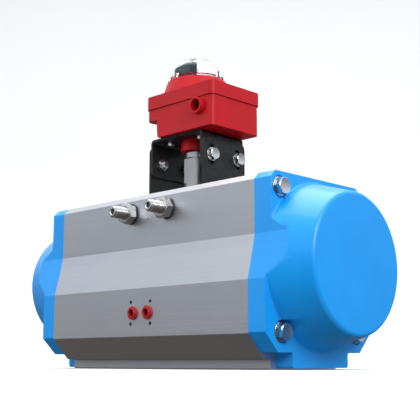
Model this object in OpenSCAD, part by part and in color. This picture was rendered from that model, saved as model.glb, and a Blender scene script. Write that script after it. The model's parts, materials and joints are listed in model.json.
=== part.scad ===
// Quarter-turn rack-and-pinion pneumatic actuator, 150 mm bore, double acting,
// with a position box on a bracket. Millimetres. The origin is the centre of
// the valve flange face, +Z runs up the pinion, +X to the right-hand cap and
// -Y to the side with the air ports. The valve is shut at rest.

/* [Actuator body] */
// Length of the extruded body between the end caps
body_len = 316; // [300:2:340]
// Width of the body, port side to back
body_w = 174; // [172:1:180]
// Height from the valve flange face to the top face
body_h = 197; // [195:1:200]
// Cylinder bore
bore_d = 150; // [146:1:152]
// Height of the cylinder axis above the valve flange face
bore_z = 105; // [103:1:106]

/* [End caps] */
// Length of one end cap, flange and dome
cap_len = 71; // [66:1:90]
// Thickness of the cap flange
flange_t = 22; // [18:1:26]
// Radius of the flat end of the dome
dome_end_r = 69; // [66:1:72]

/* [Pinion] */
// Tooth module of the pinion and racks
gear_m = 2.5; // [2.5:0.5:2.5]
// Number of pinion teeth
gear_n = 18; // [18:1:18]
// Square of the valve stem that the star socket takes
drive_sq = 27; // [22:1:27]
// Height of the pinion above the top face
stem_h = 50; // [50:1:52]

/* [Travel stops] */
// Distance of each stop screw from the pinion axis
stop_x = 30; // [29:1:31]
// Height of the stop screws
stop_z = 175; // [174:1:176]
// Diameter of the stop screws
stop_d = 14; // [12:1:14]

/* [Air ports] */
// Distance between the two air ports
port_pitch = 24; // [24:1:24]
// Height of the air ports
port_z = 61; // [58:1:64]

/* [Position box] */
// Height of the bracket between the body and the box
bracket_h = 75; // [73:1:80]
// Height of the box base
base_h = 38; // [37:1:40]
// Height of the box lid
lid_h = 14; // [13:1:18]
// Height of the cone on the lid that carries the dome
cone_h = 18; // [16:1:20]
// Height of the clear dome with its rim
dome_h = 34; // [34:1:38]

/* [Hidden] */
$fn = 64;
eps = 0.01;
fit = 0.05;          // running clearance on a radius
seat = 0.02;         // clearance of a piece that is fixed in its seat

half_len = body_len / 2;
half_w = body_w / 2;
bore_r = bore_d / 2;

// body outline: foot pad, skirt, widest side, shoulder and top
foot_half = 54;
foot_h = 11;
skirt_half = 65;
side_low = 35;
side_high = 88;
top_half = 76;
top_bevel = 7;
cap_foot_half = 46;
cap_foot_h = 17;
cap_foot_z = 1.5;
cap_edge = 5;        // rounded edge of the dome's end
cap_root = 3;        // fillet between the dome and the flange
cap_root_r = 86;

// drilled patterns
cap_bolt_y = 62;
cap_bolt_z = [37, 181];
cap_bolt_r = 5;
cap_spot_r = 11.5;
cap_screw_af = 16;
cap_screw_head = 7;
cap_screw_shank = 44;
cap_washer_t = 2;
cap_hollow_r = 66;
cap_face_t = 7;
seal_w = 2.4;
seal_t = 2;
seal_gap = 0.1;
seal_r = 87;
seal_foot = 40;
f10_pcd = 102;
f12_pcd = 125;
pad_pitch_x = 32;
pad_pitch_z = 24;
port_r = 5.9;
plug_rim_r = 7.6;
plug_rim_t = 2.2;
plug_len = 10;
gallery_y = 65;       // air way to both end chambers, inside the port-side wall
gallery_z = 56;
gallery_r = 2.6;
bracket_pitch_x = 130;
bracket_pitch_y = 30;

// pinion levels, from the bottom up
pinion_z0 = 4;
socket_h = 34;
spigot_d = 70;
spigot_h = 3.5;
lower_r = 25;
lower_h = 28;
neck_r = 22;
lower_bush_r = 28;
gear_z0 = 74;
gear_h = 62;
pitch_r = gear_m * gear_n / 2;
tooth_gap = 0.12;    // taken off each tooth for backlash
pressure_angle = 20;
cam_z = stop_z - 8;
cam_h = 16;
cam_r = 36;
cam_af = 36;         // octagon that locks the cam on the pinion
cam_face = 9.7;      // stop faces, from the pinion axis
stop_tip = 10;
stop_len = 94.7;
stop_nut_af = 22;
stop_nut_h = 9;
stop_washer_t = 2;
pocket_r = 42;
pocket_z = stop_z + 9.5;
upper_r = 16;
waist_r = 20;        // between the teeth and the stop cam
upper_bush_r = 19;
stem_r = 15;
stem_af = 25;
stem_z = body_h + 8;
flats_z = body_h + 19;
slot_w = 4.2;
slot_h = 5;
washer_z = body_h;
circlip_z = body_h + 3.5;
circlip_t = 2.2;
pinion_top = body_h + stem_h;

// pistons, with the valve shut
head_x0 = 60;
head_t = 40;
rack_tip_x = 52;
rack_h = 44;
tooth_pitch = PI * gear_m;
piston_wall_r = 58;
piston_face_t = 14;
band_x = head_x0 + 6;
band_w = 10;
band_t = 2.3;
seal_x = head_x0 + 27;
piston_seal_d = 5.2;
pad_x = -40;
pad_len = 70;
pad_w = 34;
pad_t = 10;

// bracket
leg_x = 43;
leg_half = 35;
plate_t = 3;
foot_reach = 80;
bolt_y = 22;
bolt_r = 4;
bolt_af = 13;
bolt_washer_t = 1.6;
slot_len = 24;
slot_r = 4.3;
foot_top = 20;       // from the bolts to the top edge of a foot
bolt_z = body_h + 46;
bracket_top_z = body_h + bracket_h;

// box: the pinion axis is off its middle, and the upper part of the base is longer
base_x = [-31, 64.5];
upper_x = [-45, 64.5];
base_half = 40.5;
step_h = 22;         // height of the narrow lower part
draft = 5;           // slope of its left-hand end
lid_x = [-46, 66];
lid_half = 42;
lid_lap = 2;         // how far the lid reaches down over the base
wall = 3.5;
floor_t = 4;
gasket_t = 1.2;
hub_r = 19;
hub_h = 16;
hub_neck_r = 15;     // neck of the hub, through the floor of the base
hub_rise = 5;
hub_bore_r = 10;
seal_depth = 1.2;
base_z = bracket_top_z;
lid_z = base_z + base_h;
roof_z = lid_z + lid_h;
cone_r = 41.5;
cone_top_r = 35.5;
cone_wall = 5;
post_r = 6.5;        // screw posts of the base and lid
dome_z = roof_z + cone_h;
dome_r = 30.2;
dome_wall = 1.8;
rim_r = 35;
rim_t = 3;
dome_screw_r = 32.7;
drum_r = 25.5;
drum_top_r = 8;
drum_z = dome_z + 2;
lid_screw_x = [-38, 57];
lid_screw_y = 33;
mount_screw_x = [-22, 28];
mount_screw_y = 22;
shaft_r = 7;
coupling_r = 14;
coupling_top = base_z - hub_h - 2;
carrier_z = base_z + floor_t + 8;
sensor_h = 7.2;
conduit_r = 7.25;
collar_r = 9.5;
collar_len = 6;
wire_hole_r = 6.5;   // hole in the wall behind the collar
conduit_x = 43;
conduit_z = base_z + 25;

// ---------- outlines ----------

function unit(v) = v / norm(v);

// one corner of an outline, as an arc that touches both of its sides
function corner_arc(a, b, c, r, n) =
    let (u = unit(a - b), v = unit(c - b), half = acos(u * v) / 2,
         mid = b + unit(u + v) * r / sin(half),
         p = b + u * r / tan(half) - mid, q = b + v * r / tan(half) - mid,
         from = atan2(p[1], p[0]),
         turn = (atan2(q[1], q[0]) - from + 540) % 360 - 180)
    [for (i = [0:n]) mid + r * [cos(from + turn * i / n), sin(from + turn * i / n)]];

function rounded(points, r, n = 4) =
    let (k = len(points))
    [for (i = [0:k - 1])
        each corner_arc(points[(i + k - 1) % k], points[i], points[(i + 1) % k], r, n)];

function both_sides(right) =
    concat(right, [for (i = [len(right) - 1:-1:0]) [-right[i][0], right[i][1]]]);

function body_outline() = both_sides([
    [foot_half, 0], [foot_half, foot_h], [skirt_half, foot_h], [half_w, side_low],
    [half_w, side_high], [top_half + 2.5, side_high + 34], [top_half, side_high + 46],
    [top_half, body_h - top_bevel], [top_half - top_bevel, body_h]]);

function cap_outline() = both_sides([
    [cap_foot_half, cap_foot_z], [cap_foot_half, cap_foot_h], [skirt_half + 3, cap_foot_h],
    [half_w, side_low + 1], [half_w, side_high], [top_half + 2.5, side_high + 34],
    [top_half, side_high + 46], [top_half, body_h - top_bevel],
    [top_half - top_bevel, body_h]]);

function box_outline(xs, half) = [[xs[0], -half], [xs[1], -half], [xs[1], half], [xs[0], half]];

// ---------- repeated shapes ----------

module along_x(x, y, z, r, h) {
    translate([x, y, z]) rotate([0, 90, 0]) cylinder(r = r, h = h);
}

module along_y(x, y, z, r, h) {
    translate([x, y, z]) rotate([-90, 0, 0]) cylinder(r = r, h = h);
}

module four(dx, dy) {
    for (sx = [-1, 1], sy = [-1, 1]) translate([sx * dx / 2, sy * dy / 2, 0]) children();
}

module hole_circle(pcd) {
    for (a = [45:90:315]) rotate([0, 0, a]) translate([pcd / 2, 0, 0]) children();
}

module hex(af, h) {
    cylinder(r = af / sqrt(3), h = h, $fn = 6);
}

// hexagon screw standing on z = 0 with its shank below
module hex_screw(r, af, head, shank) {
    intersection() {
        hex(af, head);
        union() {
            cylinder(r = af / 2 + 0.9, h = head - 1);
            translate([0, 0, head - 1]) cylinder(r1 = af / 2 + 0.9, r2 = af / 2 - 0.6, h = 1);
        }
    }
    translate([0, 0, -shank]) cylinder(r = r, h = shank + eps);
}

// socket-head screw standing on z = 0 with its shank below
module socket_screw(r, head_r, head, key, shank) {
    difference() {
        union() {
            translate([0, 0, head - 0.8]) cylinder(r1 = head_r, r2 = head_r - 0.8, h = 0.8);
            cylinder(r = head_r, h = head - 0.8 + eps);
            translate([0, 0, -shank]) cylinder(r = r, h = shank + eps);
        }
        translate([0, 0, head * 0.4]) hex(key, head);
    }
}

module nut(hole_r, af, h) {
    difference() {
        hex(af, h);
        translate([0, 0, -1]) cylinder(r = hole_r, h = h + 2);
    }
}

module washer(r_in, r_out, t) {
    difference() {
        cylinder(r = r_out, h = t);
        translate([0, 0, -1]) cylinder(r = r_in, h = t + 2);
    }
}

module ring(r, section) {
    rotate_extrude() translate([r, 0]) circle(d = section, $fn = 24);
}

module ring_x(x, r, section) {
    translate([x, 0, bore_z]) rotate([0, 90, 0]) ring(r, section);
}

module plate(outline, z, h) {
    translate([0, 0, z]) linear_extrude(h) polygon(outline);
}

module slot(length, w, h) {
    translate([-(length - w) / 2, -w / 2, 0]) cube([length - w, w, h]);
    for (s = [-1, 1]) translate([s * (length - w) / 2, 0, 0]) cylinder(d = w, h = h);
}

module cap_bolt_places() {
    for (s = [-1, 1], z = cap_bolt_z) translate([0, s * cap_bolt_y, z]) children();
}

module other_end() {
    rotate([0, 0, 180]) children();
}

// ---------- body ----------

module body_drillings() {
    along_x(-half_len - 1, 0, bore_z, bore_r, body_len + 2);
    translate([0, 0, bore_z]) cylinder(r = pocket_r, h = pocket_z - bore_z);
    translate([0, 0, -1]) cylinder(d = spigot_d, h = spigot_h + 1);
    cylinder(r = lower_bush_r, h = bore_z);
    translate([0, 0, bore_z]) cylinder(r = upper_bush_r, h = body_h);
    hole_circle(f10_pcd) translate([0, 0, -1]) cylinder(r = 4.25, h = 21);
    hole_circle(f12_pcd) translate([0, 0, -1]) cylinder(r = 5.1, h = 23);
    along_x(-half_len - 1, -gallery_y, gallery_z, gallery_r, body_len + 2);
    along_y(port_pitch / 2, -half_w, port_z - 2.5, gallery_r, half_w - gallery_y - 1);
    along_y(-port_pitch / 2, -half_w, port_z + 2.5, gallery_r, half_w - bore_r / 2);
    for (s = [-1, 1]) {
        along_y(s * port_pitch / 2, -half_w - 1, port_z, port_r, 15);
        along_y(s * stop_x, -half_w, stop_z, stop_d / 2 + seat, half_w - pocket_r / 2);
        for (t = [-1, 1])
            along_y(s * pad_pitch_x / 2, -half_w - 1, port_z + t * pad_pitch_z / 2, 2.1, 11);
    }
    cap_bolt_places() for (s = [-1, 1])
        along_x(s > 0 ? half_len - 26 : -half_len - 1, 0, 0, cap_bolt_r + seat, 27);
    translate([0, 0, body_h - 10]) four(bracket_pitch_x, bracket_pitch_y)
        cylinder(r = 2.5 + seat, h = 11);
}

module body() {
    color("silver") difference() {
        rotate([90, 0, 90]) linear_extrude(body_len, center = true)
            polygon(rounded(body_outline(), 1.5));
        body_drillings();
    }
}

// ---------- end caps ----------

// dome outline in radius and distance from the body, with a rounded edge and root
function dome_profile() =
    let (root = [cap_root_r + cap_root, flange_t + cap_root],
         edge = [dome_end_r, cap_len - cap_edge])
    concat([[0, flange_t - 1], [root[0], flange_t - 1]],
        [for (a = [0:15:90]) root - cap_root * [sin(a), cos(a)]],
        [for (a = [0:15:90]) edge + cap_edge * [cos(a), sin(a)]],
        [[0, cap_len]]);

module end_cap() {
    color("dodgerblue") difference() {
        union() {
            translate([half_len, 0, 0]) rotate([90, 0, 90]) linear_extrude(flange_t)
                polygon(rounded(cap_outline(), 2.5));
            intersection() {
                translate([half_len, 0, bore_z]) rotate([0, 90, 0])
                    rotate_extrude($fn = 128) polygon(dome_profile());
                translate([half_len, 0, 0]) rotate([90, 0, 90]) linear_extrude(cap_len + 1)
                    polygon(rounded(cap_outline(), 2.5));
            }
        }
        along_x(half_len - 1, 0, bore_z, cap_hollow_r, cap_len - cap_face_t);
        for (s = [-1, 1]) translate([half_len, s * (gallery_y + gallery_r - 12), gallery_z])
            cube([14, 24, 6], center = true);
        translate([half_len - 1, 0, 0]) seal_loop(seal_t + 1, seal_gap);
        cap_bolt_places() {
            along_x(half_len - 1, 0, 0, cap_bolt_r + 0.5, cap_len);
            along_x(half_len + flange_t - cap_washer_t, 0, 0, cap_spot_r, cap_len);
        }
    }
}

module end_cap_right() { end_cap(); }
module end_cap_left() { other_end() end_cap(); }

// what lies inside the cap seal: a circle, cut in where the body wall is narrow
module seal_zone(t, in) {
    intersection() {
        along_x(0, 0, bore_z, seal_r - in, t);
        rotate([90, 0, 90]) linear_extrude(t) polygon(both_sides([
            [seal_foot - in, 0], [half_w - 3 - in, side_low], [half_w - 3 - in, side_high],
            [top_half - 0.5 - in, side_high + 34], [top_half - 0.5 - in, body_h]]));
    }
}

module seal_loop(t, gap = 0) {
    difference() {
        seal_zone(t, -gap);
        translate([-1, 0, 0]) seal_zone(t + 2, seal_w + gap);
    }
}

module cap_seals() {
    color("black") for (a = [0, 180]) rotate([0, 0, a])
        translate([half_len, 0, 0]) seal_loop(seal_t);
}

module cap_screws() {
    color("silver") cap_bolt_places() translate([half_len + flange_t, 0, 0])
        rotate([0, 90, 0]) hex_screw(cap_bolt_r, cap_screw_af, cap_screw_head, cap_screw_shank);
}

module cap_screws_right() { cap_screws(); }
module cap_screws_left() { other_end() cap_screws(); }

module cap_washers() {
    color("gainsboro") for (a = [0, 180]) rotate([0, 0, a]) cap_bolt_places()
        translate([half_len + flange_t - cap_washer_t, 0, 0]) rotate([0, 90, 0])
            washer(cap_bolt_r + 0.2, 2 * cap_bolt_r, cap_washer_t);
}

// ---------- pistons ----------

// space between two rack teeth, in length and height above the pitch line
function rack_space() =
    let (half = (tooth_pitch / 2 + tooth_gap) / 2, k = tan(pressure_angle),
         top = gear_m + 1, root = 1.25 * gear_m)
    [[-half - k * top, top], [-half + k * root, -root], [half - k * root, -root],
     [half + k * top, top]];

module piston() {
    color("lightgray") difference() {
        union() {
            along_x(head_x0, 0, bore_z, bore_r - 0.3, head_t);
            intersection() {
                translate([-rack_tip_x, -bore_r, bore_z - rack_h / 2])
                    cube([rack_tip_x + head_x0 + 1, bore_r - pitch_r + gear_m, rack_h]);
                along_x(-rack_tip_x, 0, bore_z, bore_r - 3, rack_tip_x + head_x0 + 1);
            }
        }
        for (k = [-6:2])
            translate([k * tooth_pitch, -pitch_r, bore_z - rack_h])
                linear_extrude(2 * rack_h) polygon(rack_space());
        along_x(head_x0 + piston_face_t, 0, bore_z, piston_wall_r, head_t);
        for (groove = [[band_x, band_w + 0.4, band_t],
                       [seal_x, piston_seal_d + 1, piston_seal_d + 0.2]])
            translate([groove[0], 0, bore_z]) rotate([0, 90, 0])
                washer(bore_r - groove[2], bore_r + 1, groove[1]);
        translate([pad_x - 0.2, -bore_r - 1, bore_z - pad_w / 2 - 0.2])
            cube([pad_len + 0.4, pad_t + 1, pad_w + 0.4]);
    }
}

module piston_right() { piston(); }
module piston_left() { other_end() piston(); }

module piston_seal() {
    color("black") ring_x(seal_x + piston_seal_d / 2 + 0.5,
        bore_r - piston_seal_d / 2 - 0.1, piston_seal_d);
}

module piston_seal_right() { piston_seal(); }
module piston_seal_left() { other_end() piston_seal(); }

module piston_band() {
    color("ivory") translate([band_x + 0.2, 0, bore_z]) rotate([0, 90, 0])
        washer(bore_r - band_t + seat, bore_r - fit, band_w);
}

module piston_band_right() { piston_band(); }
module piston_band_left() { other_end() piston_band(); }

module piston_pad() {
    color("ivory") intersection() {
        translate([pad_x, -bore_r, bore_z - pad_w / 2]) cube([pad_len, pad_t, pad_w]);
        along_x(pad_x - 1, 0, bore_z, bore_r - fit, pad_len + 2);
    }
}

module piston_pad_right() { piston_pad(); }
module piston_pad_left() { other_end() piston_pad(); }

// ---------- pinion ----------

// angle by which an involute from the base circle has turned at radius r
function involute(r, base) =
    let (t = sqrt(pow(r / base, 2) - 1)) t * 180 / PI - atan(t);

function gear_outline() =
    let (base = pitch_r * cos(pressure_angle), outer = pitch_r + gear_m,
         root = pitch_r - 1.22 * gear_m, steps = 6,
         half = (tooth_pitch / 2 - tooth_gap) / 2 / pitch_r * 180 / PI
                + involute(pitch_r, base),
         flank = [for (i = [0:steps]) let (r = base + (outer - base) * i / steps)
                  [r, half - involute(r, base)]])
    [for (k = [0:gear_n - 1]) let (mid = 90 + 360 / gear_n * k)
        each concat(
            [[root * cos(mid - half), root * sin(mid - half)]],
            [for (p = flank) p[0] * [cos(mid - p[1]), sin(mid - p[1])]],
            [for (i = [steps:-1:0]) let (p = flank[i])
                p[0] * [cos(mid + p[1]), sin(mid + p[1])]],
            [[root * cos(mid + half), root * sin(mid + half)]])];

module pinion() {
    color("lightsteelblue") difference() {
        union() {
            translate([0, 0, pinion_z0]) cylinder(r = lower_r, h = lower_h);
            translate([0, 0, pinion_z0 + lower_h - 1])
                cylinder(r = neck_r, h = gear_z0 - pinion_z0 - lower_h + 1);
            translate([0, 0, gear_z0]) linear_extrude(gear_h) polygon(gear_outline());
            translate([0, 0, gear_z0 + gear_h - 1])
                cylinder(r = waist_r, h = cam_z - gear_z0 - gear_h + 1);
            translate([0, 0, cam_z - eps]) rotate([0, 0, 22.5])
                cylinder(r = cam_af / 2 / cos(22.5), h = cam_h + 0.5, $fn = 8);
            translate([0, 0, cam_z + cam_h]) cylinder(r = upper_r, h = stem_z + 1 - cam_z - cam_h);
            translate([0, 0, stem_z]) cylinder(r = stem_r, h = flats_z + 1 - stem_z);
            intersection() {
                translate([0, 0, flats_z]) cylinder(r = stem_r, h = pinion_top - flats_z);
                translate([-stem_r, -stem_af / 2, flats_z])
                    cube([2 * stem_r, stem_af, stem_h]);
            }
        }
        for (a = [0, 45]) rotate([0, 0, a]) translate([-drive_sq / 2, -drive_sq / 2, 0])
            cube([drive_sq, drive_sq, socket_h]);
        translate([-stem_r - 1, -slot_w / 2, pinion_top - slot_h])
            cube([2 * stem_r + 2, slot_w, slot_h + 1]);
        translate([0, 0, pinion_top - 16]) cylinder(r = 2.5, h = 17);
        translate([0, 0, circlip_z]) washer(upper_r - 1.3, upper_r + 1, circlip_t + 0.1);
        for (g = [[14, lower_r], [188, upper_r]])
            translate([0, 0, g[0]]) washer(g[1] - 2.2, g[1] + 1, 3);
    }
}

module pinion_seals() {
    color("black") {
        translate([0, 0, 15.5]) ring(lower_r - 1.1, 2.1);
        translate([0, 0, 189.5]) ring(upper_r - 1.1, 2.1);
    }
}

module lower_bush() {
    color("ivory") translate([0, 0, spigot_h + 0.5])
        washer(lower_r + fit, lower_bush_r - seat, 20);
}

module upper_bush() {
    color("ivory") translate([0, 0, pocket_z])
        washer(upper_r + fit, upper_bush_r - seat, body_h - pocket_z);
}

module thrust_washer() {
    color("ivory") translate([0, 0, washer_z]) washer(upper_r + fit, 25, 2);
}

module steel_washer() {
    color("silver") translate([0, 0, washer_z + 2]) washer(upper_r + fit, 24, 1.5);
}

module circlip() {
    color("dimgray") translate([0, 0, circlip_z]) difference() {
        union() {
            washer(upper_r - 1.25, upper_r + 2.6, circlip_t);
            for (s = [-1, 1]) translate([5 * s, -upper_r - 2.5, 0]) cylinder(r = 2.6, h = circlip_t);
        }
        translate([0, 0, -1]) cylinder(r = upper_r - 1.25, h = circlip_t + 2);
        translate([-2.4, -upper_r - 8, -1]) cube([4.8, 12, circlip_t + 2]);
        for (s = [-1, 1]) translate([5 * s, -upper_r - 2.8, -1]) cylinder(r = 1, h = circlip_t + 2);
    }
}

// ---------- travel stops ----------

module stop_cam() {
    color("gray") translate([0, 0, cam_z]) difference() {
        union() {
            cylinder(r = 24, h = cam_h);
            intersection() {
                cylinder(r = cam_r, h = cam_h);
                translate([-cam_face, -cam_face, 0]) cube([2 * cam_r, 2 * cam_r, cam_h]);
            }
        }
        translate([0, 0, -1]) rotate([0, 0, 22.5])
            cylinder(r = cam_af / 2 / cos(22.5) + fit, h = cam_h + 2, $fn = 8);
    }
}

module stop_screw(side) {
    color("silver") translate([side * stop_x, -stop_tip, stop_z]) rotate([90, 0, 0])
        difference() {
            union() {
                cylinder(r1 = stop_d / 2 - 1.5, r2 = stop_d / 2, h = 1.5);
                translate([0, 0, 1.5]) cylinder(r = stop_d / 2, h = stop_len - 2.7);
                translate([0, 0, stop_len - 1.2])
                    cylinder(r1 = stop_d / 2, r2 = stop_d / 2 - 1.2, h = 1.2);
            }
            translate([0, 0, stop_len - 7.7]) hex(6, 10);
        }
}

module stop_screw_right() { stop_screw(1); }
module stop_screw_left() { stop_screw(-1); }

module stop_nuts() {
    color("silver") for (s = [-1, 1])
        translate([s * stop_x, -top_half - stop_washer_t, stop_z]) rotate([90, 0, 0])
            nut(stop_d / 2 + seat, stop_nut_af, stop_nut_h);
}

module stop_seal_washers() {
    color("dimgray") for (s = [-1, 1])
        translate([s * stop_x, -top_half, stop_z]) rotate([90, 0, 0])
            washer(stop_d / 2 + seat, 12, stop_washer_t);
}

// ---------- air port plugs ----------

module port_plugs() {
    color("firebrick") for (s = [-1, 1]) {
        along_y(s * port_pitch / 2, -half_w - plug_rim_t, port_z, plug_rim_r, plug_rim_t);
        along_y(s * port_pitch / 2, -half_w - eps, port_z, port_r - fit, plug_len);
        along_y(s * port_pitch / 2, -half_w - plug_rim_t - 1.4, port_z, 0.6 * plug_rim_r, 2);
    }
}

// ---------- bracket ----------

module leg_slots(x0) {
    for (s = [-1, 1]) translate([x0, s * bolt_y, bolt_z]) rotate([0, 90, 0])
        slot(slot_len, 2 * slot_r, plate_t + 2);
}

module bracket_foot() {
    color("black") difference() {
        union() {
            rotate([90, 0, 90]) translate([0, 0, leg_x]) linear_extrude(plate_t)
                polygon([[-leg_half, body_h], [leg_half, body_h],
                         [leg_half, bolt_z + foot_top - 6], [leg_half - 6, bolt_z + foot_top],
                         [6 - leg_half, bolt_z + foot_top], [-leg_half, bolt_z + foot_top - 6]]);
            plate(rounded(box_outline([leg_x + 1, foot_reach], leg_half), 0.8), body_h, plate_t);
        }
        leg_slots(leg_x - 1);
        for (s = [-1, 1])
            translate([bracket_pitch_x / 2, s * bracket_pitch_y / 2, body_h - 1])
                slot(18, 5.8, plate_t + 2);
    }
}

module bracket_foot_right() { bracket_foot(); }
module bracket_foot_left() { other_end() bracket_foot(); }

module bracket_top() {
    color("black") difference() {
        union() {
            translate([-leg_x, -leg_half, bracket_top_z - plate_t])
                cube([2 * leg_x, 2 * leg_half, plate_t]);
            for (s = [-1, 1])
                translate([s > 0 ? leg_x - plate_t : -leg_x, -leg_half, bolt_z - 16])
                    cube([plate_t, 2 * leg_half, bracket_top_z - bolt_z + 15]);
        }
        for (s = [-1, 1], t = [-1, 1])
            translate([s > 0 ? leg_x - plate_t - 1 : -leg_x - 1, t * bolt_y, bolt_z])
                rotate([0, 90, 0]) cylinder(r = slot_r, h = plate_t + 2);
        translate([0, 0, bracket_top_z - plate_t - 1]) {
            cylinder(r = 21, h = plate_t + 2);
            for (x = mount_screw_x, s = [-1, 1]) translate([x, s * mount_screw_y, 0])
                cylinder(r = 2.8, h = plate_t + 2);
        }
    }
}

module bracket_bolts() {
    color("silver") for (a = [0, 180], s = [-1, 1]) rotate([0, 0, a])
        translate([leg_x + plate_t, s * bolt_y, bolt_z]) rotate([0, 90, 0]) {
            translate([0, 0, bolt_washer_t]) hex_screw(bolt_r, bolt_af, 5.3, 18);
            washer(bolt_r + 0.1, 2 * bolt_r, bolt_washer_t);
        }
}

module bracket_nuts() {
    color("silver") for (a = [0, 180], s = [-1, 1]) rotate([0, 0, a])
        translate([leg_x - plate_t, s * bolt_y, bolt_z]) rotate([0, -90, 0])
            nut(bolt_r + seat, bolt_af, 6.5);
}

module bracket_base_screws() {
    color("silver") translate([0, 0, body_h + plate_t]) four(bracket_pitch_x, bracket_pitch_y) {
        translate([0, 0, 1.2]) socket_screw(2.5, 4.3, 5, 4, 12);
        washer(2.6, 5.5, 1.2);
    }
}

// ---------- position box ----------

module lid_screw_places() {
    for (x = lid_screw_x, s = [-1, 1]) translate([x, s * lid_screw_y, 0]) children();
}

// lower part of the base with its sloped left-hand end, or the space inside it
module lower_block(inset, z, h) {
    intersection() {
        plate(rounded(box_outline([base_x[0] + inset, base_x[1] - inset], base_half - inset),
            inset > 0 ? 4 : 6), z, h);
        rotate([90, 0, 0]) linear_extrude(2 * lid_half, center = true)
            polygon([[base_x[0] + draft + inset, base_z], [base_x[1], base_z],
                     [base_x[1], lid_z], [base_x[0] + inset, lid_z],
                     [base_x[0] + inset, base_z + step_h]]);
    }
}

// upper part of the base, or the space inside it
module upper_block(inset, z, h) {
    plate(rounded(box_outline([upper_x[0] + inset, upper_x[1] - inset], base_half - inset),
        inset > 0 ? 4 : 6), z, h);
}

module box_base() {
    color("crimson") difference() {
        union() {
            difference() {
                union() {
                    lower_block(0, base_z, step_h + 1);
                    upper_block(0, base_z + step_h, base_h - step_h);
                }
                lower_block(wall, base_z + floor_t, base_h);
                upper_block(wall, base_z + step_h + wall, base_h);
            }
            for (x = lid_screw_x, s = [-1, 1]) intersection() {
                translate([x, s * lid_screw_y, 0]) cylinder(r = post_r, h = lid_z);
                union() {
                    lower_block(0.5, base_z + 1, step_h);
                    upper_block(0.5, base_z + step_h + 0.5, base_h - step_h - 0.5);
                }
            }
        }
        translate([0, 0, base_z - 1]) cylinder(r = hub_neck_r + seat, h = floor_t + 2);
        along_y(conduit_x, -lid_half, conduit_z, wire_hole_r, 2 * wall);
        lid_screw_places() translate([0, 0, lid_z - 13]) cylinder(r = 2.5 + seat, h = 14);
        for (x = mount_screw_x, s = [-1, 1]) translate([x, s * mount_screw_y, base_z - 1])
            cylinder(r = 2.5 + seat, h = 6);
    }
}

// turned boss that carries the switch shaft, pressed into the floor of the base
module box_hub() {
    color("crimson") difference() {
        union() {
            translate([0, 0, base_z - hub_h]) cylinder(r = hub_r, h = hub_h);
            translate([0, 0, base_z - eps]) cylinder(r = hub_neck_r, h = floor_t + hub_rise);
        }
        translate([0, 0, base_z - hub_h - 1]) cylinder(r = hub_bore_r, h = hub_h + 14);
    }
}

// threaded collar of the cable entry, outside the wall of the base
module conduit_collar() {
    color("crimson") difference() {
        along_y(conduit_x, -base_half - collar_len, conduit_z, collar_r, collar_len);
        along_y(conduit_x, -base_half - collar_len - 1, conduit_z, conduit_r, collar_len + 2);
    }
}

module box_gasket() {
    color("black") difference() {
        upper_block(0.6, lid_z, gasket_t);
        upper_block(wall, lid_z - 1, 4);
        lid_screw_places() translate([0, 0, lid_z - 1]) cylinder(r = post_r + 0.1, h = 4);
    }
}

module box_lid() {
    color("crimson") difference() {
        union() {
            difference() {
                plate(rounded(box_outline(lid_x, lid_half), 7), lid_z - lid_lap, lid_h + lid_lap);
                plate(rounded(box_outline([upper_x[0] - 0.4, upper_x[1] + 0.4],
                    base_half + 0.6), 5), lid_z - lid_lap - 1, lid_lap + 1 + gasket_t);
                upper_block(2, lid_z - 1, lid_h - wall + 1);
            }
            lid_screw_places() translate([0, 0, lid_z]) cylinder(r = post_r, h = lid_h - 1);
            translate([0, 0, roof_z - eps]) cylinder(r1 = cone_r, r2 = cone_top_r, h = cone_h);
        }
        translate([0, 0, roof_z - wall - 1])
            cylinder(r1 = cone_r - cone_wall, r2 = cone_top_r - 2 * cone_wall - 1, h = cone_h - 1.5);
        translate([0, 0, lid_z + 2]) cylinder(r = 11, h = 60);
        translate([0, 0, dome_z - seal_depth]) washer(28.6, 30.6, seal_depth + 1);
        lid_screw_places() {
            translate([0, 0, lid_z - 1]) cylinder(r = 2.7, h = lid_h + 3);
            translate([0, 0, roof_z - 5]) cylinder(r = 5.4, h = 6);
        }
        dome_screw_places() translate([0, 0, dome_z - 5]) cylinder(r = 1.25 + seat, h = 6);
    }
}

module lid_screws() {
    color("silver") lid_screw_places() translate([0, 0, roof_z - 5])
        socket_screw(2.5, 4.6, 4.5, 4, 20);
}

module box_mount_screws() {
    color("silver") for (x = mount_screw_x, s = [-1, 1])
        translate([x, s * mount_screw_y, bracket_top_z - plate_t]) rotate([180, 0, 0])
            socket_screw(2.5, 4.3, 5, 4, 7);
}

module shaft_bush() {
    color("goldenrod") translate([0, 0, base_z - hub_h]) washer(shaft_r + fit, hub_bore_r - seat, 22);
}

module switch_shaft() {
    color("silver") {
        translate([0, 0, coupling_top - eps]) cylinder(r = shaft_r, h = drum_z + 20 - coupling_top);
        translate([0, 0, pinion_top + 0.6])
            cylinder(r = coupling_r, h = coupling_top - pinion_top - 0.6);
        translate([-13, -2, pinion_top - slot_h + 0.6]) cube([26, 4, slot_h + 0.2]);
    }
}

module shaft_circlip() {
    color("dimgray") translate([0, 0, base_z + 10]) difference() {
        cylinder(r = shaft_r + 2.5, h = 1);
        translate([0, 0, -1]) cylinder(r = shaft_r + seat, h = 3);
        translate([-2, 0, -1]) cube([4, 12, 3]);
    }
}

module switch_cam(z) {
    translate([0, 0, z]) difference() {
        union() {
            cylinder(r = 13, h = 6);
            intersection() {
                cylinder(r = 17, h = 6);
                translate([-5, 0, 0]) cube([10, 20, 6]);
            }
        }
        translate([0, 0, -1]) cylinder(r = shaft_r + seat, h = 8);
    }
}

module switch_cam_lower() {
    color("gold") switch_cam(base_z + 14.8);
}

module switch_cam_upper() {
    color("firebrick") rotate([0, 0, -90]) switch_cam(base_z + 22);
}

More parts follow.
